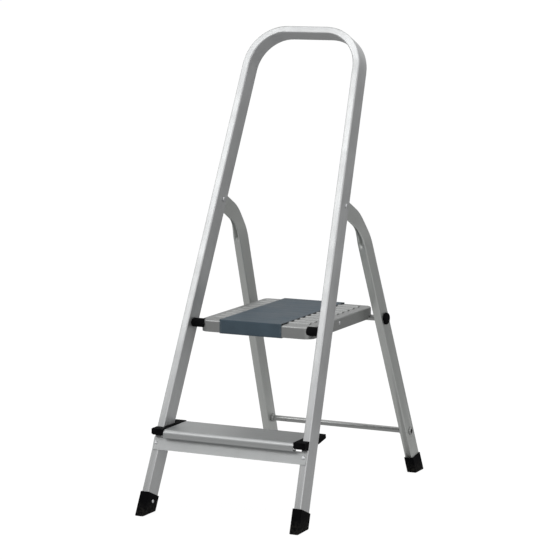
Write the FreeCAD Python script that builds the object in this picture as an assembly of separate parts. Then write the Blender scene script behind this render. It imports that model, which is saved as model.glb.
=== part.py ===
import FreeCAD, Part
import os
from math import sin, cos, tan, atan, radians, degrees, sqrt, asin, hypot

V = FreeCAD.Vector
X_AXIS, Y_AXIS = V(1, 0, 0), V(0, 1, 0)

# Folding step stool with a hoop handrail. Millimetres, +Z up, the user stands on the -Y side.
# The floor is z = 0. Each piece is built with the stile front faces meeting the floor at y = 0,
# then everything is moved along Y so that the origin is under the middle of the whole object.

# ---- driving dimensions: front frame ----
hoop_height = 1040.0        # highest front edge of the handrail above the floor
stile_lean = 23.77          # degrees from vertical, towards the rear
floor_half_width = 194.7    # outer face of a stile at the floor
stile_taper = 0.053         # inward shift of a stile per unit of height
stile_width = 16.5
stile_depth = 46.5
stile_wall = 1.5
stile_corner = 3.0
hoop_radius = 96.0          # outer radius of the handrail bends

# ---- driving dimensions: rear frame ----
rear_floor_y = 631.5        # front face of a rear leg at the floor
rear_lean = 21.7            # degrees from vertical, towards the front
rear_narrower = 1.85        # outer face of a rear leg inside that of a stile, at the floor
leg_width = 18.0
leg_depth = 39.5
leg_wall = 1.5
leg_corner = 2.0
leg_tongue = 4.5            # thickness of the flattened top end
leg_bend_radius = 100.0
leg_bend_drop = 47.0        # straight leg and bent end would meet this far below the hinge
pinch_length = 66.0         # the tube narrows to the tongue over this height
pinch_above_bend = 12.0

# ---- driving dimensions: main hinge ----
hinge_height = 658.0
hinge_from_back = 17.7      # ahead of the stile's back face
hinge_rivet_r = 4.0
hinge_head_r, hinge_head_h, hinge_head_edge = 5.2, 2.2, 1.8
washer_r = 10.0
slot_width = 8.0
slot_room_below = 38.25     # slot beyond half the leg's depth, below and above the hinge
slot_room_above = -0.25

# ---- driving dimensions: tread ----
tread_height = 181.7
tread_overhang = 23.0       # nosing ahead of the stile's front face
tread_depth = 106.0
tread_end_room = 11.5       # end cap between the tread's end and the stile
tread_sheet = 2.5
nosing_drop = 19.0
nosing_r, nosing_low_r, tread_rear_r = 9.5, 4.0, 1.8
apron_height = 25.7
apron_inset = 2.5           # apron end short of the stile's outer face
tread_lip = 21.7
cap_rise = 1.5              # end cap top above the tread
cap_edge, cap_fillet = 9.0, 1.6
ledge_thick = 2.6

# ---- driving dimensions: small blind rivets ----
rivet_r = 2.4
rivet_head_r, rivet_head_h, rivet_head_edge = 3.9, 1.6, 1.2
rivet_tail_r, rivet_tail_h = 3.6, 1.4
front_boot_rivet_u = 38.5   # up the stile
rear_boot_rivet_z = 24.0

# ---- driving dimensions: platform ----
platform_height = 409.8
platform_nose = 9.2         # ahead of its front pins
platform_tail = 13.8        # behind the rod
platform_side_room = 19.4   # between the platform and a stile
platform_skirt = 29.2
platform_sheet = 1.5
front_corner, rear_corner = 22.0, 15.0
platform_edge_r = 4.5
rib_pitch, rib_width, rib_rise = 28.0, 15.0, 2.4
rib_end_margin = 21.0
pin_drop = 11.8             # pins, rod and brace rivets below the platform's top
rod_drop = 27.1
brace_rivet_drop = 13.8
pin_inset = 21.5            # behind the stile's front face
pin_r = 3.0
pin_head_r, pin_head_h = 5.0, 2.4
pin_tail_r, pin_tail_h = 5.2, 2.0
bush_r = 10.0
brace_place = 0.445         # along the platform, from its front
brace_width, brace_depth = 24.0, 18.0
brace_head_h = 1.6
sleeve_left, sleeve_right = -86.0, 66.0
sleeve_card, sleeve_fold = 0.8, 9.0
hook_slope_room = 0.55      # between the hook's sloping wall and the rod on its way out
hook_width = 12.0           # of skirt that each hook is cut through

# ---- driving dimensions: rods and feet ----
rod_r = 6.75
rod_cap_r, rod_cap_thick, rod_cap_edge = 13.5, 8.0, 4.0
crossbar_height = 102.5
crossbar_r, crossbar_wall = 6.5, 1.3
crossbar_head_r, crossbar_head_h = 9.0, 2.6
collar_r, collar_width, collar_edge = 9.5, 6.0, 1.2
boot_wall = 2.5
front_boot_height = 54.5    # measured along the stile
rear_boot_front, rear_boot_back = 37.0, 43.0
boot_corner = 3.5

# ---- clearances ----
fixed_gap = 0.05            # between pieces that are fastened together
running_gap = 0.08          # round a turning pin
side_gap = 0.35             # beside a turning piece
washer_bore_gap = 0.45
washer_gap = 0.50           # beside the leg end, which is not quite parallel to the stile
rod_gap = 0.30              # platform hook round its rod

# ---- values worked out from the dimensions above ----
hinge_inset = stile_depth - hinge_from_back
slot_below = leg_depth / 2 + slot_room_below
slot_above = leg_depth / 2 + slot_room_above
L = radians(stile_lean)
R = radians(rear_lean)
tan_l, cos_l, sin_l = tan(L), cos(L), sin(L)
taper_in_plane = atan(stile_taper * cos_l)
hoop_u = hoop_height / cos_l


def stile_outer(u):
    # outer face of a stile, at distance u up the leaning front plane
    return floor_half_width - tan(taper_in_plane) * u


def stile_inner(u):
    return stile_outer(u) - stile_width / cos(taper_in_plane)


def stile_centre(u):
    return (stile_outer(u) + stile_inner(u)) / 2


def up_the_plane(y, z):
    # distance up the leaning front plane of a point in the side view
    return y * sin_l + z * cos_l


hinge_y = hinge_height * tan_l + hinge_inset / cos_l
hinge_u = up_the_plane(hinge_y, hinge_height)
pin_height = platform_height - pin_drop
pin_y = pin_height * tan_l + pin_inset / cos_l
pin_u = up_the_plane(pin_y, pin_height)

rear_floor_half_width = floor_half_width - rear_narrower
rear_taper = (rear_floor_half_width - leg_width / 2 - stile_centre(hinge_u)) / hinge_height
rear_taper_angle = atan(rear_taper)
leg_depth_y = leg_depth / cos(R)
leg_bend_height = hinge_height - leg_bend_drop
pinch_high = leg_bend_height + pinch_above_bend
pinch_low = pinch_high - pinch_length


def leg_outer(z):
    return rear_floor_half_width - rear_taper * z


def leg_inner(z):
    return leg_outer(z) - leg_width / cos(rear_taper_angle)


def leg_centre_y(z):
    return rear_floor_y - tan(R) * z + leg_depth_y / 2


rod_height = platform_height - rod_drop
rod_y = leg_centre_y(rod_height)
crossbar_y = leg_centre_y(crossbar_height)

tread_front = tread_height * tan_l - tread_overhang
tread_rear = tread_front + tread_depth
tread_half_width = stile_inner(tread_height / cos_l) - tread_end_room
nosing_bottom = tread_height - nosing_drop
apron_bottom = nosing_bottom - apron_height

platform_front = pin_y - platform_nose
platform_back = rod_y + platform_tail
platform_depth = platform_back - platform_front
platform_half_width = stile_inner(pin_u) - platform_side_room
brace_y = platform_front + brace_place * platform_depth
brace_height = platform_height - brace_rivet_drop
rib_half_length = platform_half_width - rib_end_margin

rear_boot_y = rear_floor_y + leg_depth_y + boot_wall / cos(R)
front_boot_y = -boot_wall / cos_l
middle_y = (front_boot_y + rear_boot_y) / 2


# ---- helpers ----
def prism(points, direction):
    return Part.Face(Part.makePolygon(points + [points[0]])).extrude(direction)


def side_prism(yz_points, x0, x1):
    # a side view outline, run across from x0 to x1
    return prism([V(x0, y, z) for y, z in yz_points], V(x1 - x0, 0, 0))


def plane_prism(xu_points, v0, v1):
    # an outline in the leaning plane, run backwards from v0 to v1 (still upright)
    return prism([V(x, v0, u) for x, u in xu_points], V(0, v1 - v0, 0))


def lean(shape):
    # tips an upright shape back to the stile's angle
    shape.rotate(V(0, 0, 0), X_AXIS, -stile_lean)
    return shape


def cylinder(r, x0, x1, y, z):
    return Part.makeCylinder(r, x1 - x0, V(x0, y, z), X_AXIS)


def mirrored(shape):
    return shape.mirror(V(0, 0, 0), X_AXIS)


def fillet_where(shape, radius, test):
    edges = [e for e in shape.Edges if test(e)]
    return shape.makeFillet(radius, edges)


def largest_solid(shape):
    return max(shape.Solids, key=lambda s: s.Volume)


def chamfered_disc(r, x0, x1, y, z, bevel):
    # a disc along X whose outward rim (at x1) is bevelled
    disc = cylinder(r, min(x0, x1), max(x0, x1), y, z)
    rim = [e for e in disc.Edges if abs(e.CenterOfMass.x - x1) < 0.01 and e.Curve.TypeId.endswith("Circle")]
    return disc.makeChamfer(bevel, rim)


def rounded_disc(r, x0, x1, y, z, radius):
    disc = cylinder(r, min(x0, x1), max(x0, x1), y, z)
    rim = [e for e in disc.Edges if abs(e.CenterOfMass.x - x1) < 0.01 and e.Curve.TypeId.endswith("Circle")]
    return disc.makeFillet(radius, rim)


# ---- front frame ----
def hoop_outline(inset, bottom_u, top_inset):
    # closed outline of the hoop seen square to the leaning plane; inset moves its outer edge in,
    # and top_inset sets the width of the band that is left
    def offset_path(off, radius):
        k = tan(taper_in_plane)
        side = off / cos(taper_in_plane)
        top = hoop_u - off
        x_bottom = stile_outer(bottom_u) - side
        x_corner = stile_outer(top) - side
        bend = radians(90) - taper_in_plane
        cut = radius * tan(bend / 2)
        slope = hypot(1, k)
        start = V(x_corner + k * cut / slope, 0, top - cut / slope)
        end = V(x_corner - cut, 0, top)
        centre = V(end.x, 0, top - radius)
        mid_dir = (start + end) * 0.5 - centre
        mid_dir.normalize()
        mid = centre + mid_dir * radius
        m = lambda p: V(-p.x, 0, p.z)
        low = V(x_bottom, 0, bottom_u)
        return low, start, mid, end, m(end), m(mid), m(start), m(low)

    a = offset_path(inset, hoop_radius - inset)
    b = offset_path(inset + top_inset, hoop_radius - inset - top_inset)
    edges = []
    for low, s, md, e, e2, md2, s2, low2 in (a, b):
        edges += [Part.makeLine(low, s), Part.Arc(s, md, e).toShape(), Part.makeLine(e, e2),
                  Part.Arc(e2, md2, s2).toShape(), Part.makeLine(s2, low2)]
    edges += [Part.makeLine(a[7], b[7]), Part.makeLine(a[0], b[0])]
    return Part.Face(Part.Wire(Part.__sortEdges__(edges)))


stile_foot_u = (5.0 + stile_depth * sin_l) / cos_l      # lower end of the tube, inside its boot


def stile_block(u0, u1, grow):
    # the right stile as a solid bar between u0 and u1, upright, grown by a clearance all round
    pts = [(stile_inner(u0) - grow, u0), (stile_outer(u0) + grow, u0),
           (stile_outer(u1) + grow, u1), (stile_inner(u1) - grow, u1)]
    return plane_prism(pts, -grow, stile_depth + grow)


def front_frame():
    outer = hoop_outline(0, stile_foot_u, stile_width).extrude(V(0, stile_depth, 0))

    def long_edge(e):
        b = e.BoundBox
        flat = b.YLength < 1e-3 and (abs(b.YMin) < 1e-3 or abs(b.YMin - stile_depth) < 1e-3)
        return flat and not (b.ZLength < 1e-3 and b.ZMin < stile_foot_u + 1)

    outer = fillet_where(outer, stile_corner, long_edge)
    cavity = hoop_outline(stile_wall, stile_foot_u, stile_width - 2 * stile_wall)
    cavity = cavity.extrude(V(0, stile_depth - 2 * stile_wall, 0))
    cavity.translate(V(0, stile_wall, 0))
    frame = outer.cut(cavity)
    for side in (-1, 1):
        centre = side * stile_centre(hinge_u)
        slot = Part.makeBox(slot_width, stile_wall + 2, slot_below + slot_above)
        slot.translate(V(-slot_width / 2, stile_depth - stile_wall - 1, hinge_u - slot_below))
        slot.rotate(V(0, 0, hinge_u), Y_AXIS, -side * degrees(taper_in_plane))
        slot.translate(V(centre, 0, 0))
        frame = frame.cut(slot)
    frame = lean(frame)
    far = floor_half_width
    frame = frame.cut(cylinder(hinge_rivet_r + fixed_gap, -far, far, hinge_y, hinge_height))
    for side in (-1, 1):
        x_in = side * (stile_inner(pin_u) - 3)
        x_out = side * (stile_inner(pin_u) + stile_width / 2)
        x0, x1 = sorted((x_in, x_out))
        frame = frame.cut(cylinder(pin_r + fixed_gap, x0, x1, pin_y, pin_height))
        frame = frame.cut(apron_rivet_shaft(side, fixed_gap))
        frame = frame.cut(boot_rivet_shaft_front(side, fixed_gap))
    return frame


# ---- hinge pieces ----
def hinge_rivet(side):
    # a tubular rivet: shaft through both stile walls, a dome each side
    out_x, in_x = stile_outer(hinge_u) + 0.6, stile_inner(hinge_u) - 0.6
    shaft = cylinder(hinge_rivet_r, in_x - 0.5, out_x + 0.5, hinge_y, hinge_height)
    heads = []
    for x0, x1 in ((out_x, out_x + hinge_head_h), (in_x, in_x - hinge_head_h)):
        heads.append(rounded_disc(hinge_head_r, x0, x1, hinge_y, hinge_height, hinge_head_edge))
    rivet = shaft.fuse(heads).removeSplitter()
    return rivet if side > 0 else mirrored(rivet)


def hinge_washers(side):
    # spacers that keep the flattened leg end in the middle of the tube
    thick = (stile_width - 2 * stile_wall - leg_tongue) / 2 - washer_gap - fixed_gap
    centre = stile_centre(hinge_u)
    rings = []
    for s in (-1, 1):
        start = leg_tongue / 2 + washer_gap
        ring = Part.makeCylinder(washer_r, thick, V(s * start, 0, 0), X_AXIS * s)
        bore_r = hinge_rivet_r + washer_bore_gap
        ring = ring.cut(Part.makeCylinder(bore_r, thick, V(s * start, 0, 0), X_AXIS * s))
        ring.rotate(V(0, 0, 0), Y_AXIS, -degrees(taper_in_plane))
        ring.rotate(V(0, 0, 0), X_AXIS, -stile_lean)
        ring.translate(V(centre, hinge_y, hinge_height))
        rings.append(ring)
    group = Part.makeCompound(rings)
    return group if side > 0 else mirrored(group)


# ---- tread ----
def tread_profile():
    sheet = tread_sheet
    plane = lambda z, v: (z * tan_l + v / cos_l, z)
    return [(tread_rear, tread_height - tread_lip), (tread_rear, tread_height),
            (tread_front, tread_height), (tread_front, nosing_bottom), plane(nosing_bottom, -sheet),
            plane(apron_bottom, -sheet), plane(apron_bottom, -fixed_gap),
            plane(nosing_bottom + sheet, -fixed_gap), (tread_front + sheet, nosing_bottom + sheet),
            (tread_front + sheet, tread_height - sheet), (tread_rear - sheet, tread_height - sheet),
            (tread_rear - sheet, tread_height - tread_lip)]


def tread_plate():
    tread = side_prism(tread_profile(), -tread_half_width, tread_half_width)

    def near(e, y, z):
        b = e.BoundBox
        return b.YLength < 1e-3 and b.ZLength < 1e-3 and hypot(b.YMin - y, b.ZMin - z) < 0.01

    inside = (tread_front + tread_sheet, tread_height - tread_sheet)
    tread = fillet_where(tread, nosing_r, lambda e: near(e, tread_front, tread_height))
    tread = fillet_where(tread, nosing_r - tread_sheet, lambda e: near(e, *inside))
    tread = fillet_where(tread, nosing_low_r, lambda e: near(e, tread_front, nosing_bottom))
    tread = fillet_where(tread, tread_rear_r, lambda e: near(e, tread_rear, tread_height))
    for side in (-1, 1):
        top_z = nosing_bottom - 0.6
        corners = ((apron_bottom, -tread_sheet), (apron_bottom, -fixed_gap),
                   (top_z, -fixed_gap), (top_z, -tread_sheet))
        pts = [(z * tan_l + v / cos_l, z) for z, v in corners]
        end = stile_outer(apron_bottom / cos_l) - apron_inset
        x0, x1 = sorted((side * (tread_half_width - 1), side * end))
        tread = tread.fuse(side_prism(pts, x0, x1))
    tread = tread.removeSplitter()
    for side in (-1, 1):
        tread = tread.cut(apron_rivet_shaft(side, fixed_gap))
    return tread


apron_rivet_u = (apron_bottom + apron_height / 2) / cos_l


def apron_rivet_x(side):
    return side * stile_centre(apron_rivet_u)


def apron_rivet_shaft(side, gap):
    shaft = Part.makeCylinder(rivet_r + gap, tread_sheet + stile_wall + 3.0,
                              V(apron_rivet_x(side), -tread_sheet - 1.0, apron_rivet_u), Y_AXIS)
    return lean(shaft)


def apron_rivets():
    rivets = []
    for side in (-1, 1):
        x, u = apron_rivet_x(side), apron_rivet_u
        face = -tread_sheet - rivet_head_h
        head = Part.makeCylinder(rivet_head_r, rivet_head_h, V(x, face, u), Y_AXIS)
        rim = lambda e: abs(e.CenterOfMass.y - face) < 0.01 and e.Curve.TypeId.endswith("Circle")
        head = fillet_where(head, rivet_head_edge, rim)
        shaft = Part.makeCylinder(rivet_r, tread_sheet + stile_wall + 1.8,
                                  V(x, -tread_sheet - 0.5, u), Y_AXIS)
        tail = Part.makeCylinder(rivet_tail_r, rivet_tail_h, V(x, stile_wall + 0.2, u), Y_AXIS)
        rivets.append(lean(head.fuse([shaft, tail]).removeSplitter()))
    return Part.makeCompound(rivets)


def tread_end_cap(side):
    # collar in front of, inside and behind the stile, flush with its outer face
    top = tread_height + cap_rise
    front, rear = tread_front, tread_rear + 2.0
    low = nosing_bottom + 1.2
    outline = [(front, top), (rear, top), (rear, top - cap_edge), (rear - 34, low + 5.0),
               (front + 21.5, low), (front + 6.5, low + 4.0), (front, low + 8.0)]
    cap = side_prism(outline, tread_half_width + fixed_gap, floor_half_width + 4)

    def outside(e):
        b = e.BoundBox
        along_top = abs(b.ZMin - top) < 1e-3 and b.ZLength < 1e-3 and b.XLength > 5
        upright = b.ZLength > 6 and b.YLength < 1e-3 and b.XLength < 1e-3
        return along_top or upright

    cap = fillet_where(cap, cap_fillet, outside)
    u0, u1 = (tread_height - 120) / cos_l, (tread_height + 140) / cos_l
    within = plane_prism([(60, u0), (stile_outer(u0), u0), (stile_outer(u1), u1), (60, u1)], -120, 200)
    stile = lean(stile_block(u0, u1, fixed_gap))
    cap = cap.common(lean(within)).cut(stile)
    ledge_front = tread_front + tread_sheet + 8.0
    ledge_rear = tread_rear - tread_sheet - 2.0
    under = tread_height - tread_sheet - fixed_gap
    ledge = Part.makeBox(12.0, ledge_rear - ledge_front, ledge_thick,
                         V(tread_half_width - 10.0, ledge_front, under - ledge_thick))
    cap = largest_solid(cap).fuse(ledge).removeSplitter()
    cap = largest_solid(cap.cut(stile))
    return cap if side > 0 else mirrored(cap)


# ---- front boots ----
boot_below_u = -12.0       # start of the boot below the floor, before its sole is cut level


def front_boot_rivet_axis():
    # from the boot's inner face towards the stile, at mid depth
    x = stile_inner(front_boot_rivet_u)
    return x, stile_depth / 2


def boot_rivet_shaft_front(side, gap):
    x, v = front_boot_rivet_axis()
    start = V(x - boot_wall - 2, v, front_boot_rivet_u)
    shaft = lean(Part.makeCylinder(rivet_r + gap, boot_wall + stile_wall + 5.0, start, X_AXIS))
    return shaft if side > 0 else mirrored(shaft)


def front_foot(side):
    boot = stile_block(boot_below_u, front_boot_height, boot_wall)

    def upright(e):
        b = e.BoundBox
        return b.YLength < 1e-3 and b.ZLength > 40

    boot = fillet_where(boot, boot_corner, upright)
    boot = boot.cut(stile_block(stile_foot_u - fixed_gap, front_boot_height + 5, fixed_gap))
    boot = lean(boot)
    floor = Part.makeBox(900, 900, 200, V(-450, -300, -200))
    boot = boot.cut(floor)
    sole = [e for e in boot.Edges if abs(e.BoundBox.ZMax) < 1e-3 and e.BoundBox.ZLength < 1e-3]
    boot = boot.makeChamfer(1.0, sole)
    boot = boot.cut(boot_rivet_shaft_front(1, fixed_gap))
    return boot if side > 0 else mirrored(boot)


def small_rivet(head_x, length, y, z):
    # blind rivet along X: head on the low side of head_x, shaft towards +X
    head = rounded_disc(rivet_head_r, head_x, head_x - rivet_head_h, y, z, rivet_head_edge)
    shaft = cylinder(rivet_r, head_x - 0.5, head_x + length + rivet_tail_h, y, z)
    tail = cylinder(rivet_tail_r, head_x + length, head_x + length + rivet_tail_h, y, z)
    return head.fuse([shaft, tail]).removeSplitter()


def front_foot_rivets():
    x, v = front_boot_rivet_axis()
    rivet = lean(small_rivet(x - boot_wall - 0.25, boot_wall + stile_wall + 0.5, v, front_boot_rivet_u))
    return Part.makeCompound([rivet, mirrored(rivet)])


# ---- rear legs ----
def leg_outline(half_depth, bottom, tail_round):
    # side view of a leg: straight, bent forward, and rounded about the hinge
    up = V(0, -sin(R), cos(R))
    meet = V(0, leg_centre_y(leg_bend_height), leg_bend_height)
    hinge = V(0, hinge_y, hinge_height)
    out = hinge - meet
    out.normalize()
    bend = up.getAngle(out)
    cut = leg_bend_radius * tan(bend / 2)
    back = lambda d: V(0, d.z, -d.y)          # quarter turn towards the rear of direction d
    s, e = meet - up * cut, meet + out * cut
    centre = s - back(up) * leg_bend_radius
    mid_dir = (meet - centre)
    mid_dir.normalize()
    foot = V(0, leg_centre_y(0), 0) + up * bottom
    b1, b2 = back(up) * half_depth, back(out) * half_depth
    inner_r, outer_r = leg_bend_radius - half_depth, leg_bend_radius + half_depth
    edges = [Part.makeLine(foot - b1, s - b1),
             Part.Arc(s - b1, centre + mid_dir * inner_r, e - b2).toShape(),
             Part.makeLine(e - b2, hinge - b2)]
    if tail_round:
        edges.append(Part.Arc(hinge - b2, hinge + out * half_depth, hinge + b2).toShape())
    else:
        edges.append(Part.makeLine(hinge - b2, hinge + b2))
    edges += [Part.makeLine(hinge + b2, e + b2),
              Part.Arc(e + b2, centre + mid_dir * outer_r, s + b1).toShape(),
              Part.makeLine(s + b1, foot + b1), Part.makeLine(foot + b1, foot - b1)]
    return Part.Face(Part.Wire(edges))


def pinch_outline(half_wide, half_thin, top):
    # front view of a leg: full width, then drawn in to the tongue by two arcs each side
    step = half_wide - half_thin
    rise = pinch_high - pinch_low
    radius = (rise * rise + step * step) / (4 * step)
    sweep = asin(rise / 2 / radius)
    sag = radius - radius * cos(sweep / 2)

    def side(sign):
        p0 = V(sign * half_wide, 0, -60)
        p1 = V(sign * half_wide, 0, pinch_low)
        q1 = V(sign * (half_wide - sag), 0, pinch_low + radius * sin(sweep / 2))
        p2 = V(sign * (half_wide + half_thin) / 2, 0, (pinch_low + pinch_high) / 2)
        q2 = V(sign * (half_thin + sag), 0, pinch_high - radius * sin(sweep / 2))
        p3 = V(sign * half_thin, 0, pinch_high)
        p4 = V(sign * half_thin, 0, top)
        return [Part.makeLine(p0, p1), Part.Arc(p1, q1, p2).toShape(),
                Part.Arc(p2, q2, p3).toShape(), Part.makeLine(p3, p4)], p0, p4

    right, r0, r4 = side(1)
    left, l0, l4 = side(-1)
    edges = right + left + [Part.makeLine(r0, l0), Part.makeLine(r4, l4)]
    return Part.Face(Part.Wire(Part.__sortEdges__(edges)))


leg_bottom = (6.0 + leg_depth / 2 * sin(R)) / cos(R)     # lower end of the tube, inside its boot


def place_leg(shape):
    # leans an upright, centred leg shape inwards by its taper and puts it on the +X side
    shape.rotate(V(0, 0, 0), Y_AXIS, -degrees(rear_taper_angle))
    shape.translate(V(rear_floor_half_width - leg_width / 2 / cos(rear_taper_angle), 0, 0))
    return shape


def leg_bar(grow=0.0, low=-30.0):
    # the straight part of a leg as a solid bar, on the +X side, grown by a clearance
    up = V(0, -sin(R), cos(R))
    back = V(0, cos(R), sin(R))
    foot = V(-leg_width / 2 - grow, leg_centre_y(0), 0) + up * low - back * (leg_depth / 2 + grow)
    across, along = back * (leg_depth + 2 * grow), up * (leg_bend_height - 40)
    pts = [foot, foot + across, foot + across + along, foot + along]
    return place_leg(prism(pts, V(leg_width + 2 * grow, 0, 0)))


def rear_leg(side):
    half = leg_depth / 2
    outer = leg_outline(half, leg_bottom, True).extrude(V(60, 0, 0))
    outer.translate(V(-30, 0, 0))
    band = pinch_outline(leg_width / 2, leg_tongue / 2, 720).extrude(V(0, 900, 0))
    leg = outer.common(band).removeSplitter()
    leg = fillet_where(leg, leg_corner, leg_long_edge)
    inner = leg_outline(half - leg_wall, leg_bottom - 5, False).extrude(V(60, 0, 0))
    inner.translate(V(-30, 0, 0))
    hollow = pinch_outline(leg_width / 2 - leg_wall, leg_tongue / 2 - leg_wall, pinch_high + 2)
    hollow = hollow.extrude(V(0, 900, 0))
    leg = leg.cut(inner.common(hollow))
    leg = place_leg(leg)
    far = floor_half_width + 20
    leg = leg.cut(cylinder(hinge_rivet_r + running_gap, 60, far, hinge_y, hinge_height))
    leg = leg.cut(cylinder(rod_r + fixed_gap, 60, far, rod_y, rod_height))
    leg = leg.cut(cylinder(crossbar_r + fixed_gap, 60, far, crossbar_y, crossbar_height))
    leg = leg.cut(rear_boot_rivet_shaft(fixed_gap))
    return leg if side > 0 else mirrored(leg)


def leg_long_edge(e):
    # every edge that runs along the leg between a wide face and a narrow one
    p, q = e.Vertexes[0].Point, e.Vertexes[-1].Point
    x_mid = abs(e.CenterOfMass.x)
    across = abs(p.x - q.x) > 1e-3 and abs(p.x + q.x) < 1e-3
    at_foot = abs(p.z - q.z) > 1e-6 and e.BoundBox.ZMax < 40
    return not across and not at_foot and x_mid > leg_tongue / 2 - 0.1


def rear_boot_rivet_shaft(gap):
    x = leg_inner(rear_boot_rivet_z)
    return cylinder(rivet_r + gap, x - boot_wall - 2, x + leg_wall + 3,
                    leg_centre_y(rear_boot_rivet_z), rear_boot_rivet_z)


def rear_foot(side):
    w = boot_wall / cos(R)
    front = lambda z: rear_floor_y - tan(R) * z - w
    back = lambda z: rear_floor_y - tan(R) * z + leg_depth_y + w
    pts = [(front(-6), -6), (back(-6), -6), (back(rear_boot_back), rear_boot_back),
           (front(rear_boot_front), rear_boot_front)]
    half = leg_width / 2 + boot_wall
    boot = side_prism(pts, -half, half)

    def upright(e):
        b = e.BoundBox
        return b.XLength < 1e-3 and b.ZLength > 25

    boot = fillet_where(boot, boot_corner, upright)
    boot = place_leg(boot)
    boot = boot.cut(Part.makeBox(900, 1500, 200, V(-450, -300, -200)))
    sole = [e for e in boot.Edges if abs(e.BoundBox.ZMax) < 1e-3 and e.BoundBox.ZLength < 1e-3]
    boot = boot.makeChamfer(1.0, sole)
    boot = boot.cut(leg_bar(fixed_gap, leg_bottom - fixed_gap))
    boot = boot.cut(rear_boot_rivet_shaft(fixed_gap))
    return boot if side > 0 else mirrored(boot)


def rear_foot_rivets():
    x = leg_inner(rear_boot_rivet_z) - boot_wall - 0.25
    rivet = small_rivet(x, boot_wall + leg_wall + 0.5, leg_centre_y(rear_boot_rivet_z), rear_boot_rivet_z)
    return Part.makeCompound([rivet, mirrored(rivet)])


# ---- rods ----
def lower_crossbar():
    face = leg_outer(crossbar_height) + 0.6
    end = face + crossbar_head_h
    bar = cylinder(crossbar_r, -end, end, crossbar_y, crossbar_height)
    for sign in (-1, 1):
        head = rounded_disc(crossbar_head_r, sign * face, sign * end, crossbar_y, crossbar_height, 1.8)
        bar = bar.fuse(head)
    bore = cylinder(crossbar_r - crossbar_wall, -end - 5, end + 5, crossbar_y, crossbar_height)
    return bar.removeSplitter().cut(bore)


def crossbar_collars():
    face = leg_inner(crossbar_height) - 0.6
    collar = chamfered_disc(collar_r, face, face - collar_width, crossbar_y, crossbar_height, collar_edge)
    collar = collar.cut(cylinder(crossbar_r + fixed_gap, face - 20, face + 5, crossbar_y, crossbar_height))
    return Part.makeCompound([collar, mirrored(collar)])


def platform_rod():
    out = leg_outer(rod_height) + 4.0
    return cylinder(rod_r, -out, out, rod_y, rod_height)


def rod_cap(side):
    face = leg_outer(rod_height)
    cap = rounded_disc(rod_cap_r, face - 2, face + rod_cap_thick - 1, rod_y, rod_height, rod_cap_edge)
    cap = cap.cut(leg_bar(fixed_gap))
    cap = cap.cut(cylinder(rod_r + fixed_gap, face - 20, face + 4.0 + fixed_gap, rod_y, rod_height))
    cap = largest_solid(cap)
    return cap if side > 0 else mirrored(cap)


# ---- platform ----
def tray_block(inset, top_inset, drop, edge_radius):
    # a box with rounded upright corners, inset from the platform's outside
    w = platform_half_width - inset
    y0, y1 = platform_front + inset, platform_back - inset
    top = platform_height - rib_rise - top_inset
    box = Part.makeBox(2 * w, y1 - y0, drop, V(-w, y0, top - drop))

    def corner(e, y):
        b = e.BoundBox
        return b.ZLength > 1 and b.XLength < 1e-3 and b.YLength < 1e-3 and abs(b.YMin - y) < 1e-3

    box = fillet_where(box, front_corner - inset, lambda e: corner(e, y0))
    box = fillet_where(box, rear_corner - inset, lambda e: corner(e, y1))
    rim = lambda e: abs(e.BoundBox.ZMin - top) < 1e-3 and e.BoundBox.ZLength < 1e-3
    return fillet_where(box, edge_radius, rim)


def platform_tray():
    skirt = platform_skirt - rib_rise
    tray = tray_block(0, 0, skirt, platform_edge_r)
    tray = tray.cut(tray_block(platform_sheet, platform_sheet, skirt + 5, platform_edge_r - platform_sheet))
    top = platform_height - rib_rise
    rib_r = (rib_width ** 2 / 4 + rib_rise ** 2) / (2 * rib_rise)
    rib_z = platform_height - rib_r
    count = int((platform_depth - front_corner - rear_corner - rib_width) // rib_pitch) + 1
    first = (platform_front + front_corner + platform_back - rear_corner - (count - 1) * rib_pitch) / 2
    above = Part.makeBox(600, 900, 20, V(-300, 0, top - platform_sheet / 2))
    ribs, grooves = [], []
    for i in range(count):
        y = first + i * rib_pitch
        ribs.append(cylinder(rib_r, -rib_half_length, rib_half_length, y, rib_z))
        grooves.append(cylinder(rib_r - platform_sheet, -rib_half_length + platform_sheet,
                                rib_half_length - platform_sheet, y, rib_z))
    ribs = Part.makeCompound([r.common(above) for r in ribs])
    tray = tray.fuse(ribs.Solids).removeSplitter()
    below = Part.makeBox(600, 900, 20, V(-300, 0, top - platform_sheet - 0.5))
    tray = tray.cut([g.common(below) for g in grooves])
    # rear hooks: open below, with a sloping front wall along the rod's way out
    gap = rod_r + rod_gap
    out = V(0, hinge_height - rod_height, rod_y - hinge_y)
    out.normalize()
    slope = gap + hook_slope_room
    a = V(0, rod_y, rod_height) + V(0, -out.z, out.y) * slope
    low = platform_height - platform_skirt - 3.0
    b = a - out * ((a.z - low) / out.z)
    hook = [(rod_y + gap, low), (rod_y + gap, rod_height), (a.y, a.z), (b.y, low)]
    cut_w = platform_half_width + 5
    hook_cut = side_prism(hook, -cut_w, cut_w).fuse(cylinder(gap, -cut_w, cut_w, rod_y, rod_height))
    lip = [(rod_y + gap * 0.6, rod_height + gap * 0.8), (a.y, a.z), (rod_y, rod_height)]
    hook_cut = hook_cut.fuse(side_prism(lip, -cut_w, cut_w))
    core_half = platform_half_width - platform_sheet - hook_width
    core = Part.makeBox(2 * core_half, 900, 200, V(-core_half, 0, 300))
    tray = tray.cut(hook_cut.cut(core))
    tray = tray.cut(cylinder(pin_head_r + fixed_gap, -200, 200, pin_y, pin_height))
    tray = tray.cut(cylinder(rivet_r + fixed_gap, -200, 200, brace_y, brace_height))
    return tray


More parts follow.
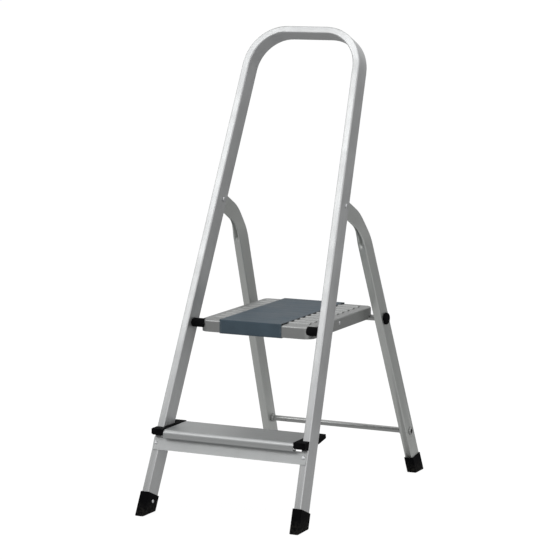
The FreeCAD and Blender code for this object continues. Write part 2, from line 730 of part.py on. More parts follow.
def platform_brace():
    # hat section under the tread sheet, closed at its ends where it is riveted to the skirts
    top = platform_height - rib_rise - platform_sheet - fixed_gap
    half = platform_half_width - platform_sheet - fixed_gap
    t = platform_sheet
    corner = V(-half, brace_y - brace_width / 2, top - brace_depth)
    brace = Part.makeBox(2 * half, brace_width, brace_depth, corner)
    ends = lambda e: abs(e.BoundBox.ZMin - top) < 1e-3 and e.BoundBox.XLength < 1e-3
    brace = fillet_where(brace, platform_edge_r - platform_sheet + 0.3, ends)
    inner = Part.makeBox(2 * half - 2 * t, brace_width - 2 * t, brace_depth, corner + V(t, t, -t))
    brace = brace.cut(inner)
    return brace.cut(cylinder(rivet_r + fixed_gap, -200, 200, brace_y, brace_height))


def brace_rivets():
    out = platform_half_width
    head = rounded_disc(rivet_head_r, out, out + brace_head_h, brace_y, brace_height, 1.2)
    length = 2 * platform_sheet + 2 * fixed_gap
    shaft = cylinder(rivet_r, out - length - rivet_tail_h, out + 0.5, brace_y, brace_height)
    tail = cylinder(rivet_tail_r, out - length - rivet_tail_h, out - length, brace_y, brace_height)
    rivet = head.fuse([shaft, tail]).removeSplitter()
    return Part.makeCompound([rivet, mirrored(rivet)])


def spigot_end():
    # how far in from the side the bush's spigot must reach to pass the rounded corner of the skirt
    inner_r = front_corner - platform_sheet
    dy = platform_front + front_corner - (pin_y - pin_head_r)
    return platform_half_width - front_corner + sqrt(inner_r ** 2 - dy ** 2) - 0.3


def platform_pin(side):
    # blind rivet: head inside the tray, through the bush and the stile's inner wall
    start = spigot_end() - side_gap
    head = rounded_disc(pin_head_r, start, start - pin_head_h, pin_y, pin_height, 1.6)
    wall = stile_inner(pin_u) + stile_wall + 1.2
    shaft = cylinder(pin_r, start - 0.5, wall + pin_tail_h, pin_y, pin_height)
    tail = cylinder(pin_tail_r, wall, wall + pin_tail_h, pin_y, pin_height)
    pin = head.fuse([shaft, tail]).removeSplitter()
    return pin if side > 0 else mirrored(pin)


def pivot_bush(side):
    # spacer against the skirt's corner, with a spigot pressed through it; it turns on the pin
    end = stile_inner(pin_u + bush_r) - side_gap
    bush = cylinder(bush_r, spigot_end(), end, pin_y, pin_height)
    rim = lambda e: abs(e.CenterOfMass.x - end) < 0.01 and e.Curve.TypeId.endswith("Circle")
    bush = bush.makeChamfer(0.8, [e for e in bush.Edges if rim(e)])
    bush = bush.cut(tray_block(-fixed_gap, -fixed_gap, platform_skirt + 5, platform_edge_r))
    bush = largest_solid(bush)
    bush = bush.fuse(cylinder(pin_head_r, spigot_end(), end - 2, pin_y, pin_height)).removeSplitter()
    bush = bush.cut(cylinder(pin_r + running_gap, 0, 300, pin_y, pin_height))
    return bush if side > 0 else mirrored(bush)


def label_sleeve():
    # card band over the ribs, down the front and rear skirts, with a short fold under the front
    g, t = fixed_gap, sleeve_card
    x0, width = sleeve_left, sleeve_right - sleeve_left
    y0, y1 = platform_front - g - t, platform_back + g + t
    top = platform_height + g + t
    low = platform_height - platform_skirt - g - t - 1.2
    outer = Part.makeBox(width, y1 - y0, top - low, V(x0, y0, low))
    rim = lambda e: abs(e.BoundBox.ZMin - top) < 1e-3 and e.BoundBox.XLength > 10
    outer = fillet_where(outer, 1.6, rim)
    inner = Part.makeBox(width + 10, y1 - y0 - 2 * t, top - low - t, V(x0 - 5, y0 + t, low))
    band = outer.cut(inner)
    fold = Part.makeBox(width, sleeve_fold, t, V(x0, y0 + t / 2, low))
    return band.fuse(fold).removeSplitter()


# ---- build ----
def build_all():
    pieces = {
        "front_frame": front_frame(),
        "tread_plate": tread_plate(),
        "apron_rivets": apron_rivets(),
        "front_foot_rivets": front_foot_rivets(),
        "rear_foot_rivets": rear_foot_rivets(),
        "lower_crossbar": lower_crossbar(),
        "crossbar_collars": crossbar_collars(),
        "platform_rod": platform_rod(),
        "platform_tray": platform_tray(),
        "platform_brace": platform_brace(),
        "brace_rivets": brace_rivets(),
        "label_sleeve": label_sleeve(),
    }
    for name, side in (("left", -1), ("right", 1)):
        pieces["tread_end_cap_" + name] = tread_end_cap(side)
        pieces["front_foot_" + name] = front_foot(side)
        pieces["hinge_rivet_" + name] = hinge_rivet(side)
        pieces["hinge_washers_" + name] = hinge_washers(side)
        pieces["platform_pin_" + name] = platform_pin(side)
        pieces["pivot_bush_" + name] = pivot_bush(side)
        pieces["rear_leg_" + name] = rear_leg(side)
        pieces["rear_foot_" + name] = rear_foot(side)
        pieces["rod_cap_" + name] = rod_cap(side)
    return pieces


os.makedirs("parts", exist_ok=True)
for node, shape in build_all().items():
    shape.translate(V(0, -middle_y, 0))
    shape.exportStep("parts/" + node + ".step")
    box = shape.BoundBox
    print(node, len(shape.Solids), shape.isValid(), round(shape.Volume / 1000, 2),
          [round(c, 1) for c in (box.XMin, box.XMax, box.YMin, box.YMax, box.ZMin, box.ZMax)])
print("hinge", round(hinge_y - middle_y, 3), hinge_height, "pin", round(pin_y - middle_y, 3), pin_height)
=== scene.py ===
import math

import bmesh
import bpy
from bpy.props import FloatProperty, FloatVectorProperty, IntProperty, PointerProperty
from mathutils import Matrix, Vector


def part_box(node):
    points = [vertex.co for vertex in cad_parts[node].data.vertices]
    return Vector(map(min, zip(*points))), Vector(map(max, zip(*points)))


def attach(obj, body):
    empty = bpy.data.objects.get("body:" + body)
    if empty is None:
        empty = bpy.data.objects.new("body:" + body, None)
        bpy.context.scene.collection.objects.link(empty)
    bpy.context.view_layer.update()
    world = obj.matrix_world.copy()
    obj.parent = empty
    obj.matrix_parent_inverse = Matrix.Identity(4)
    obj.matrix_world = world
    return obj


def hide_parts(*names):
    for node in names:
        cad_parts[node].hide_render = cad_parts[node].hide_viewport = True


bl_info = {
    "name": "Step Stool",
    "version": (1, 0, 0),
    "blender": (4, 5, 0),
    "location": "View3D > Sidebar > Step Stool",
    "description": "Finishes, card sleeve, creased legs and studio stage for a folding step stool",
    "category": "Object",
}

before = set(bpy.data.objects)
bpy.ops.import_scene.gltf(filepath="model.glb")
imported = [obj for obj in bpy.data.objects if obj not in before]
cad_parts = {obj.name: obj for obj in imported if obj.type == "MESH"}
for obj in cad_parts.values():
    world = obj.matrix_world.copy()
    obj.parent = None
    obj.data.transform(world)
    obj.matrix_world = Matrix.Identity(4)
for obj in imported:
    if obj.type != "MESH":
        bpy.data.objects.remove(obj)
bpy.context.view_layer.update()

STILE_LEAN = math.radians(23.77)
LEG_LEAN = math.radians(21.7)
LEG_FRONT_AT_FLOOR = 0.2945
LEG_MIDDLE_AT_FLOOR = 0.1838
LEG_TAPER = 0.0500
CREASE_ROWS = 34
CREASE_COLUMNS = 8


# ---- settings ----
def colour(name, description, value):
    return FloatVectorProperty(name=name, description=description, default=value,
                               size=3, min=0.0, max=1.0, subtype="COLOR")


def length(name, description, value):
    return FloatProperty(name=name, description=description, default=value,
                         min=0.0, unit="LENGTH", subtype="DISTANCE")


class StepStoolFinish(bpy.types.PropertyGroup):
    """Colours and surface grain of the materials."""

    stile_colour: colour("Handrail frame", "Anodised tube of the handrail frame", (0.465, 0.472, 0.475))
    leg_colour: colour("Rear legs", "Anodised tube of the rear legs", (0.51, 0.525, 0.51))
    tread_colour: colour("Tread", "Matte anodised tread plate", (0.435, 0.445, 0.445))
    platform_colour: colour("Platform", "Zinc-coated platform sheet", (0.385, 0.392, 0.388))
    rod_colour: colour("Rods", "Zinc-plated rod and crossbar", (0.33, 0.335, 0.33))
    rivet_colour: colour("Rivets", "Bright rivet heads", (0.62, 0.63, 0.64))
    plastic_colour: colour("Plastic", "Black moulded end caps and bushes", (0.0045, 0.0045, 0.005))
    rubber_colour: colour("Rubber", "Black rubber of the boots", (0.0035, 0.0035, 0.004))
    card_colour: colour("Card", "Plain dark face of the card sleeve", (0.046, 0.071, 0.092))
    grain_depth: length("Grain depth", "Height of the drawing lines in the tubes", 0.00004)


class StepStoolShape(bpy.types.PropertyGroup):
    """Sizes of the pieces that are made here."""

    crease_depth: length("Crease depth", "How far the front wall of a leg folds in", 0.0070)
    crease_low: length("Crease start", "Height where the crease of a leg starts", 0.549)
    crease_high: length("Crease end", "Height where the crease of a leg closes", 0.612)
    card_thickness: length("Card thickness", "Thickness of the sleeve's card", 0.0006)
    card_sag: length("Card sag", "How far the card dips between the ribs", 0.0004)


class StepStoolStage(bpy.types.PropertyGroup):
    """Camera, lights and floor."""

    camera_azimuth: FloatProperty(name="Azimuth", description="Camera's turn round the stool",
                                  default=math.radians(26.397), subtype="ANGLE")
    camera_elevation: FloatProperty(name="Elevation", description="Camera's angle above the horizon",
                                    default=math.radians(8.727), subtype="ANGLE")
    camera_roll: FloatProperty(name="Roll", description="Camera's tilt about its own axis",
                               default=math.radians(-0.267), subtype="ANGLE")
    camera_distance: length("Distance", "From the camera to its target", 5.3493)
    camera_target: FloatVectorProperty(name="Target", description="Point that the camera looks at",
                                       default=(0.0536, -0.1290, 0.5038), subtype="TRANSLATION")
    camera_lens: FloatProperty(name="Lens", description="Focal length in millimetres",
                               default=158.54, subtype="DISTANCE_CAMERA")
    key_power: FloatProperty(name="Key light", description="Power of the large front light",
                             default=15.5, unit="POWER")
    top_power: FloatProperty(name="Top light", description="Power of the overhead light",
                             default=14.0, unit="POWER")
    fill_power: FloatProperty(name="Fill light", description="Power of the weaker side light",
                              default=8.0, unit="POWER")
    room_level: FloatProperty(name="Room light", description="Level of the soft light all round",
                              default=0.62, min=0.0, max=2.0, subtype="FACTOR")
    flag_grey: FloatProperty(name="Flag grey", description="Tone of the flag behind, seen in the metal",
                             default=0.30, min=0.0, max=1.0, subtype="FACTOR")
    mat_grey: FloatProperty(name="Mat grey", description="Tone of the mat on the floor, seen in the metal",
                            default=0.54, min=0.0, max=1.0, subtype="FACTOR")


# ---- node helpers ----
def add(tree, kind, inputs=None, **settings):
    node = tree.nodes.new(kind)
    for key, value in settings.items():
        setattr(node, key, value)
    for key, value in (inputs or {}).items():
        if isinstance(value, bpy.types.NodeSocket):
            tree.links.new(value, node.inputs[key])
        else:
            node.inputs[key].default_value = value
    return node


def maths(tree, operation, a, b=None, clamp=False):
    inputs = {0: a}
    if b is not None:
        inputs[1] = b
    return add(tree, "ShaderNodeMath", inputs, operation=operation, use_clamp=clamp).outputs[0]


def ramp(tree, value, from_low, from_high, to_low=0.0, to_high=1.0):
    return add(tree, "ShaderNodeMapRange", {"Value": value, "From Min": from_low, "From Max": from_high,
                                            "To Min": to_low, "To Max": to_high}).outputs["Result"]


def blend(tree, mode, factor, a, b):
    node = add(tree, "ShaderNodeMix", data_type="RGBA", blend_type=mode)
    for socket, value in ((node.inputs[0], factor), (node.inputs[6], a), (node.inputs[7], b)):
        if isinstance(value, bpy.types.NodeSocket):
            tree.links.new(value, socket)
        elif isinstance(value, float):
            socket.default_value = value
        else:
            socket.default_value = (*value[:3], 1.0)
    return node.outputs[2]


def tinted(tone, factor):
    return tuple(min(1.0, c * factor) for c in tone)


def effect(name, inputs, outputs):
    """An empty node group with its sockets; the caller fills it once."""
    tree = bpy.data.node_groups.new(name, "ShaderNodeTree")
    for label, kind, value in inputs:
        socket = tree.interface.new_socket(name=label, in_out="INPUT", socket_type="NodeSocket" + kind)
        if value is not None:
            socket.default_value = value
    for label, kind in outputs:
        tree.interface.new_socket(name=label, in_out="OUTPUT", socket_type="NodeSocket" + kind)
    return tree, tree.nodes.new("NodeGroupInput"), tree.nodes.new("NodeGroupOutput")


def use(tree, name, inputs):
    node = tree.nodes.new("ShaderNodeGroup")
    node.node_tree = bpy.data.node_groups[name]
    for key, value in inputs.items():
        if isinstance(value, bpy.types.NodeSocket):
            tree.links.new(value, node.inputs[key])
        else:
            node.inputs[key].default_value = value
    return node


# ---- shared effects ----
def make_hoop_run():
    """Turns a place on the hoop into (across the tube, through it, along it), round the bends too."""
    tree, start, end = effect("Hoop Run", [("Vector", "Vector", None)],
                              [("Vector", "Vector"), ("Along", "Vector")])
    origin = -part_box("front_foot_left")[0].y - 0.0024
    turned = add(tree, "ShaderNodeMapping", {
        "Vector": start.outputs[0], "Rotation": (STILE_LEAN, 0, 0),
        "Location": (0, origin * math.cos(STILE_LEAN), origin * math.sin(STILE_LEAN))}, vector_type="POINT")
    parts = add(tree, "ShaderNodeSeparateXYZ", {0: turned.outputs[0]})
    x, v, u = parts.outputs
    drift = maths(tree, "MULTIPLY", u, 0.0485)
    side = maths(tree, "ADD", maths(tree, "ABSOLUTE", x), drift)
    side = maths(tree, "MAXIMUM", maths(tree, "SUBTRACT", side, 0.0987), 0.0)
    rise = maths(tree, "MAXIMUM", maths(tree, "SUBTRACT", u, 1.0404), 0.0)
    squares = maths(tree, "ADD", maths(tree, "MULTIPLY", side, side), maths(tree, "MULTIPLY", rise, rise))
    across = maths(tree, "SQRT", squares)
    along = maths(tree, "ADD", x, u)
    joined = add(tree, "ShaderNodeCombineXYZ", {"X": across, "Y": v, "Z": along})
    tree.links.new(joined.outputs[0], end.inputs[0])
    sideways = maths(tree, "MULTIPLY", rise, maths(tree, "SIGN", x))
    along_y = maths(tree, "MULTIPLY", side, -math.sin(STILE_LEAN))
    along_z = maths(tree, "MULTIPLY", side, -math.cos(STILE_LEAN))
    direction = add(tree, "ShaderNodeCombineXYZ", {"X": sideways, "Y": along_y, "Z": along_z})
    tree.links.new(direction.outputs[0], end.inputs[1])


def make_drawn_grain():
    """Fine lines along Z, as drawing and extruding leave them, over broader tone bands."""
    tree, start, end = effect(
        "Drawn Grain",
        [("Vector", "Vector", None), ("Lines", "Float", 700.0), ("Stretch", "Float", 90.0)],
        [("Streak", "Float"), ("Band", "Float")])
    vector, lines, stretch = start.outputs[:3]
    scale = add(tree, "ShaderNodeCombineXYZ", {
        "X": lines, "Y": lines, "Z": maths(tree, "DIVIDE", lines, stretch)})
    fine = add(tree, "ShaderNodeVectorMath", {0: vector, 1: scale.outputs[0]}, operation="MULTIPLY")
    noise = add(tree, "ShaderNodeTexNoise", {"Vector": fine.outputs[0], "Scale": 1.0, "Detail": 3.0,
                                             "Roughness": 0.62})
    wide = add(tree, "ShaderNodeVectorMath", {0: fine.outputs[0], "Scale": 0.13}, operation="SCALE")
    band = add(tree, "ShaderNodeTexNoise", {"Vector": wide.outputs[0], "Scale": 1.0, "Detail": 2.0})
    tree.links.new(ramp(tree, noise.outputs["Fac"], 0.3, 0.7), end.inputs["Streak"])
    tree.links.new(ramp(tree, band.outputs["Fac"], 0.3, 0.7), end.inputs["Band"])


def make_edge_wear():
    """Mask of edges worn by rubbing, broken up so that it comes and goes."""
    tree, start, end = effect(
        "Edge Wear",
        [("Vector", "Vector", None), ("Radius", "Float", 0.0015), ("Patches", "Float", 60.0)],
        [("Mask", "Float")])
    vector, radius, patches = start.outputs[:3]
    rounded = add(tree, "ShaderNodeBevel", {"Radius": radius}, samples=4)
    plain = add(tree, "ShaderNodeNewGeometry")
    dot = add(tree, "ShaderNodeVectorMath", {0: rounded.outputs[0], 1: plain.outputs["Normal"]},
              operation="DOT_PRODUCT")
    edge = ramp(tree, dot.outputs["Value"], 0.99, 0.80)
    noise = add(tree, "ShaderNodeTexNoise", {"Vector": vector, "Scale": patches, "Detail": 4.0})
    broken = maths(tree, "MULTIPLY", edge, ramp(tree, noise.outputs["Fac"], 0.38, 0.62), clamp=True)
    tree.links.new(broken, end.inputs["Mask"])


def make_handling():
    """Faint rubbed patches and short scratches of a thing that is carried about."""
    tree, start, end = effect(
        "Handling Marks",
        [("Vector", "Vector", None), ("Patches", "Float", 14.0), ("Scratches", "Float", 160.0)],
        [("Smudge", "Float"), ("Scratch", "Float")])
    vector, patches, scratches = start.outputs[:3]
    smudge = add(tree, "ShaderNodeTexNoise", {"Vector": vector, "Scale": patches, "Detail": 5.0,
                                              "Roughness": 0.6, "Distortion": 0.6})
    bent = add(tree, "ShaderNodeMapping", {"Vector": vector, "Rotation": (0.5, 0.9, 0.4),
                                           "Scale": (1.0, 0.07, 1.0)})
    line = add(tree, "ShaderNodeTexNoise", {"Vector": bent.outputs[0], "Scale": scratches, "Detail": 1.0,
                                            "Distortion": 0.3})
    thin = ramp(tree, line.outputs["Fac"], 0.70, 0.78)
    tree.links.new(ramp(tree, smudge.outputs["Fac"], 0.35, 0.7), end.inputs["Smudge"])
    tree.links.new(thin, end.inputs["Scratch"])


def make_floor_dust():
    """Mask of dust that thins out upwards from the floor."""
    tree, start, end = effect(
        "Floor Dust",
        [("Vector", "Vector", None), ("Height", "Float", 0.03), ("Specks", "Float", 220.0)],
        [("Mask", "Float")])
    vector, height, specks = start.outputs[:3]
    parts = add(tree, "ShaderNodeSeparateXYZ", {0: vector})
    low = maths(tree, "SUBTRACT", 1.0, maths(tree, "DIVIDE", parts.outputs["Z"], height), clamp=True)
    noise = add(tree, "ShaderNodeTexNoise", {"Vector": vector, "Scale": specks, "Detail": 5.0})
    dusty = maths(tree, "MULTIPLY", low, ramp(tree, noise.outputs["Fac"], 0.4, 0.75), clamp=True)
    tree.links.new(dusty, end.inputs["Mask"])


def make_moulded_grain():
    """Spark-eroded mould texture: small soft pits with broader flow marks."""
    tree, start, end = effect(
        "Moulded Grain",
        [("Vector", "Vector", None), ("Pits", "Float", 1400.0)],
        [("Height", "Float"), ("Flow", "Float")])
    vector, pits = start.outputs[:2]
    cells = add(tree, "ShaderNodeTexVoronoi", {"Vector": vector, "Scale": pits, "Randomness": 1.0})
    noise = add(tree, "ShaderNodeTexNoise", {"Vector": vector, "Scale": pits, "Detail": 3.0})
    height = maths(tree, "MULTIPLY", cells.outputs["Distance"], noise.outputs["Fac"])
    flow = add(tree, "ShaderNodeTexNoise", {"Vector": vector, "Scale": 40.0, "Detail": 3.0,
                                            "Distortion": 1.2})
    tree.links.new(height, end.inputs["Height"])
    tree.links.new(ramp(tree, flow.outputs["Fac"], 0.35, 0.65), end.inputs["Flow"])


def make_zinc_bloom():
    """The faint crystal patches of a zinc coat."""
    tree, start, end = effect(
        "Zinc Bloom",
        [("Vector", "Vector", None), ("Crystals", "Float", 160.0)],
        [("Tone", "Float"), ("Cloud", "Float")])
    vector, crystals = start.outputs[:2]
    warp = add(tree, "ShaderNodeTexNoise", {"Vector": vector, "Scale": 90.0, "Detail": 3.0})
    shifted = add(tree, "ShaderNodeVectorMath", {0: warp.outputs["Color"], "Scale": 0.006},
                  operation="SCALE")
    place = add(tree, "ShaderNodeVectorMath", {0: vector, 1: shifted.outputs[0]}, operation="ADD")
    cells = add(tree, "ShaderNodeTexVoronoi", {"Vector": place.outputs[0], "Scale": crystals})
    grey = add(tree, "ShaderNodeSeparateColor", {0: cells.outputs["Color"]})
    cloud = add(tree, "ShaderNodeTexNoise", {"Vector": vector, "Scale": 22.0, "Detail": 5.0,
                                             "Roughness": 0.6})
    tree.links.new(grey.outputs[0], end.inputs["Tone"])
    tree.links.new(ramp(tree, cloud.outputs["Fac"], 0.35, 0.65), end.inputs["Cloud"])


EFFECTS = (make_hoop_run, make_drawn_grain, make_edge_wear, make_handling, make_floor_dust,
           make_moulded_grain, make_zinc_bloom)


def build_effects():
    if "Drawn Grain" not in bpy.data.node_groups:
        for make in EFFECTS:
            make()


# ---- materials ----
def new_material(name):
    build_effects()
    material = bpy.data.materials.new(name)
    material.use_nodes = True
    tree = material.node_tree
    shader = tree.nodes["Principled BSDF"]
    place = tree.nodes.new("ShaderNodeTexCoord").outputs["Object"]
    return material, tree, shader, place


def bump(tree, shader, height, distance, strength=1.0, below=None):
    inputs = {"Height": height, "Distance": distance, "Strength": strength}
    if below is not None:
        inputs["Normal"] = below
    node = add(tree, "ShaderNodeBump", inputs)
    tree.links.new(node.outputs[0], shader.inputs["Normal"])
    return node.outputs[0]


def drawn_metal(name, tone, run, lines, roughness, metallic, depth, dust_height=None, brushed=0.0):
    """Satin metal with drawing lines; run gives the place with its Z along the tube."""
    material, tree, shader, place = new_material(name)
    run_place, line_direction = run(tree, place)
    grain = use(tree, "Drawn Grain", {"Vector": run_place, "Lines": lines, "Stretch": 120.0})
    normal = add(tree, "ShaderNodeNewGeometry").outputs["Normal"]
    across = add(tree, "ShaderNodeVectorMath", {0: normal, 1: line_direction}, operation="CROSS_PRODUCT")
    tree.links.new(across.outputs[0], shader.inputs["Tangent"])
    shader.inputs["Anisotropic"].default_value = brushed
    marks = use(tree, "Handling Marks", {"Vector": place, "Patches": 11.0, "Scratches": 150.0})
    wear = use(tree, "Edge Wear", {"Vector": place, "Radius": 0.0014, "Patches": 70.0})
    base = blend(tree, "MIX", grain.outputs["Streak"], tinted(tone, 0.95), tinted(tone, 1.05))
    base = blend(tree, "MIX", maths(tree, "MULTIPLY", grain.outputs["Band"], 0.5), base, tinted(tone, 0.93))
    base = blend(tree, "MIX", maths(tree, "MULTIPLY", marks.outputs["Smudge"], 0.22), base, tinted(tone, 0.86))
    base = blend(tree, "MIX", maths(tree, "MULTIPLY", wear.outputs["Mask"], 0.5), base, tinted(tone, 1.25))
    if dust_height:
        dust = use(tree, "Floor Dust", {"Vector": place, "Height": dust_height})
        base = blend(tree, "MIX", maths(tree, "MULTIPLY", dust.outputs["Mask"], 0.35), base, (0.33, 0.31, 0.28))
    tree.links.new(base, shader.inputs["Base Color"])
    gloss = maths(tree, "MULTIPLY", grain.outputs["Streak"], 0.07)
    gloss = maths(tree, "ADD", gloss, maths(tree, "MULTIPLY", marks.outputs["Smudge"], 0.08))
    gloss = maths(tree, "ADD", gloss, roughness - 0.07)
    gloss = maths(tree, "SUBTRACT", gloss, maths(tree, "MULTIPLY", wear.outputs["Mask"], 0.08), clamp=True)
    tree.links.new(gloss, shader.inputs["Roughness"])
    shader.inputs["Metallic"].default_value = metallic
    height = maths(tree, "SUBTRACT", grain.outputs["Streak"], maths(tree, "MULTIPLY", marks.outputs["Scratch"], 0.8))
    bump(tree, shader, height, depth)
    return material


def hoop_run(tree, place):
    node = use(tree, "Hoop Run", {"Vector": place})
    return node.outputs[0], node.outputs[1]


def leg_run(tree, place):
    turned = add(tree, "ShaderNodeMapping", {"Vector": place, "Rotation": (-LEG_LEAN, 0, 0)})
    return turned.outputs[0], (0, -math.sin(LEG_LEAN), math.cos(LEG_LEAN))


def sideways_run(tree, place):
    turned = add(tree, "ShaderNodeMapping", {"Vector": place, "Rotation": (0, math.radians(90), 0)})
    return turned.outputs[0], (1, 0, 0)


def zinc_metal(name, tone, run, roughness, metallic, drawn, rib_heights=None):
    material, tree, shader, place = new_material(name)
    zinc = use(tree, "Zinc Bloom", {"Vector": place, "Crystals": 150.0})
    grain = use(tree, "Drawn Grain", {"Vector": run(tree, place)[0], "Lines": 900.0, "Stretch": 60.0})
    marks = use(tree, "Handling Marks", {"Vector": place, "Patches": 16.0, "Scratches": 190.0})
    wear = use(tree, "Edge Wear", {"Vector": place, "Radius": 0.0012, "Patches": 90.0})
    base = blend(tree, "MIX", zinc.outputs["Tone"], tinted(tone, 0.93), tinted(tone, 1.06))
    base = blend(tree, "MIX", maths(tree, "MULTIPLY", zinc.outputs["Cloud"], 0.5), base, tinted(tone, 0.9))
    base = blend(tree, "MIX", maths(tree, "MULTIPLY", grain.outputs["Streak"], drawn), base, tinted(tone, 1.12))
    # Painted shade and painted highlight on the ribbed top: the grooves are painted darker as if shaded, and the
    # crests lighter, partly as lit crests and partly as real rubbing.
    if rib_heights:
        z = add(tree, "ShaderNodeSeparateXYZ", {0: place}).outputs["Z"]
        rib_shade_and_wear = ramp(tree, z, *rib_heights)
        base = blend(tree, "MIX", rib_shade_and_wear, tinted(tone, 0.84), blend(tree, "MIX", 0.5, base, tinted(tone, 1.25)))
    base = blend(tree, "MIX", maths(tree, "MULTIPLY", wear.outputs["Mask"], 0.5), base, tinted(tone, 1.3))
    tree.links.new(base, shader.inputs["Base Color"])
    gloss = maths(tree, "ADD", maths(tree, "MULTIPLY", zinc.outputs["Tone"], 0.06),
                  maths(tree, "MULTIPLY", marks.outputs["Smudge"], 0.08))
    tree.links.new(maths(tree, "ADD", gloss, roughness - 0.07, clamp=True), shader.inputs["Roughness"])
    shader.inputs["Metallic"].default_value = metallic
    height = maths(tree, "ADD", maths(tree, "MULTIPLY", grain.outputs["Streak"], drawn),
                   maths(tree, "MULTIPLY", zinc.outputs["Cloud"], 0.4))
    height = maths(tree, "SUBTRACT", height, maths(tree, "MULTIPLY", marks.outputs["Scratch"], 0.6))
    bump(tree, shader, height, 0.00003)
    return material


def rivet_metal(name, tone):
    material, tree, shader, place = new_material(name)
    marks = use(tree, "Handling Marks", {"Vector": place, "Patches": 300.0, "Scratches": 900.0})
    wear = use(tree, "Edge Wear", {"Vector": place, "Radius": 0.0008, "Patches": 300.0})
    base = blend(tree, "MIX", marks.outputs["Smudge"], tinted(tone, 0.8), tinted(tone, 1.1))
    base = blend(tree, "MIX", maths(tree, "MULTIPLY", wear.outputs["Mask"], 0.6), base, tinted(tone, 1.35))
    tree.links.new(base, shader.inputs["Base Color"])
    tree.links.new(ramp(tree, marks.outputs["Smudge"], 0.0, 1.0, 0.26, 0.42), shader.inputs["Roughness"])
    shader.inputs["Metallic"].default_value = 1.0
    bump(tree, shader, marks.outputs["Smudge"], 0.00003)
    return material


def moulded(name, tone, pits, depth, rough_low, rough_high, dust_height=0.0, dust_share=0.0):
    material, tree, shader, place = new_material(name)
    grain = use(tree, "Moulded Grain", {"Vector": place, "Pits": pits})
    wear = use(tree, "Edge Wear", {"Vector": place, "Radius": 0.0012, "Patches": 120.0})
    base = blend(tree, "MIX", grain.outputs["Flow"], tinted(tone, 0.8), tinted(tone, 1.25))
    base = blend(tree, "MIX", maths(tree, "MULTIPLY", wear.outputs["Mask"], 0.6), base, tinted(tone, 2.2))
    if dust_share:
        dust = use(tree, "Floor Dust", {"Vector": place, "Height": dust_height})
        base = blend(tree, "MIX", maths(tree, "MULTIPLY", dust.outputs["Mask"], dust_share), base,
                     (0.23, 0.21, 0.18))
    tree.links.new(base, shader.inputs["Base Color"])
    tree.links.new(ramp(tree, grain.outputs["Flow"], 0.0, 1.0, rough_low, rough_high),
                   shader.inputs["Roughness"])
    shader.inputs["Specular IOR Level"].default_value = 0.015
    bump(tree, shader, grain.outputs["Height"], depth)
    return material


def card_face(name, tone):
    """Varnished board: fibre lumps under a thin coat, paler where the folds are worn by rubbing."""
    material, tree, shader, place = new_material(name)
    fibre = add(tree, "ShaderNodeTexNoise", {"Vector": place, "Scale": 700.0, "Detail": 4.0})
    cloud = add(tree, "ShaderNodeTexNoise", {"Vector": place, "Scale": 18.0, "Detail": 3.0})
    wear = use(tree, "Edge Wear", {"Vector": place, "Radius": 0.0016, "Patches": 150.0})
    base = blend(tree, "MIX", ramp(tree, cloud.outputs["Fac"], 0.35, 0.65), tinted(tone, 0.9), tinted(tone, 1.12))
    base = blend(tree, "MIX", maths(tree, "MULTIPLY", ramp(tree, fibre.outputs["Fac"], 0.45, 0.7), 0.3),
                 base, tinted(tone, 1.35))
    base = blend(tree, "MIX", maths(tree, "MULTIPLY", wear.outputs["Mask"], 0.45), base, (0.30, 0.33, 0.35))
    tree.links.new(base, shader.inputs["Base Color"])
    tree.links.new(ramp(tree, cloud.outputs["Fac"], 0.3, 0.7, 0.42, 0.54), shader.inputs["Roughness"])
    shader.inputs["Specular IOR Level"].default_value = 0.3
    bump(tree, shader, fibre.outputs["Fac"], 0.00005)
    return material


def shaded_card_core(name):
    material, tree, shader, place = new_material(name)
    fibre = add(tree, "ShaderNodeTexNoise", {"Vector": place, "Scale": 1500.0, "Detail": 4.0})
    # The cut edge is dark grey: partly the card's own core colour, partly painted shade standing in for the shadow
    # under the card's edge.
    base = blend(tree, "MIX", ramp(tree, fibre.outputs["Fac"], 0.3, 0.7), (0.10, 0.10, 0.10), (0.16, 0.16, 0.155))
    tree.links.new(base, shader.inputs["Base Color"])
    shader.inputs["Roughness"].default_value = 0.85
    bump(tree, shader, fibre.outputs["Fac"], 0.00008)
    return material


def dress(material, *names):
    """Puts one material on CAD nodes, in every slot they have."""
    for name in names:
        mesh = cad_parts[name].data
        if not mesh.materials:
            mesh.materials.append(material)
        for index in range(len(mesh.materials)):
            mesh.materials[index] = material


def both(name):
    return name + "_left", name + "_right"


# ---- mesh helpers ----
def finish_piece(bm, name, body, materials):
    mesh = bpy.data.meshes.new(name)
    bm.to_mesh(mesh)
    bm.free()
    piece = bpy.data.objects.new(name, mesh)
    bpy.context.scene.collection.objects.link(piece)
    for material in materials:
        mesh.materials.append(material)
    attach(piece, body)
    return piece


# ---- operators ----
class STEPSTOOL_OT_tube_finish(bpy.types.Operator):
    """Anodised finish of the handrail frame and the tread plate."""

    bl_idname = "stepstool.tube_finish"
    bl_label = "Handrail and tread finish"

    def execute(self, context):
        finish = context.scene.stepstool_finish
        stile = drawn_metal("stile_aluminium", tuple(finish.stile_colour), hoop_run, 620.0,
                            0.40, 0.88, finish.grain_depth, 0.16, brushed=0.75)
        tread = drawn_metal("tread_aluminium", tuple(finish.tread_colour), sideways_run, 820.0,
                            0.48, 0.80, finish.grain_depth)
        dress(stile, "front_frame")
        dress(tread, "tread_plate")
        return {"FINISHED"}


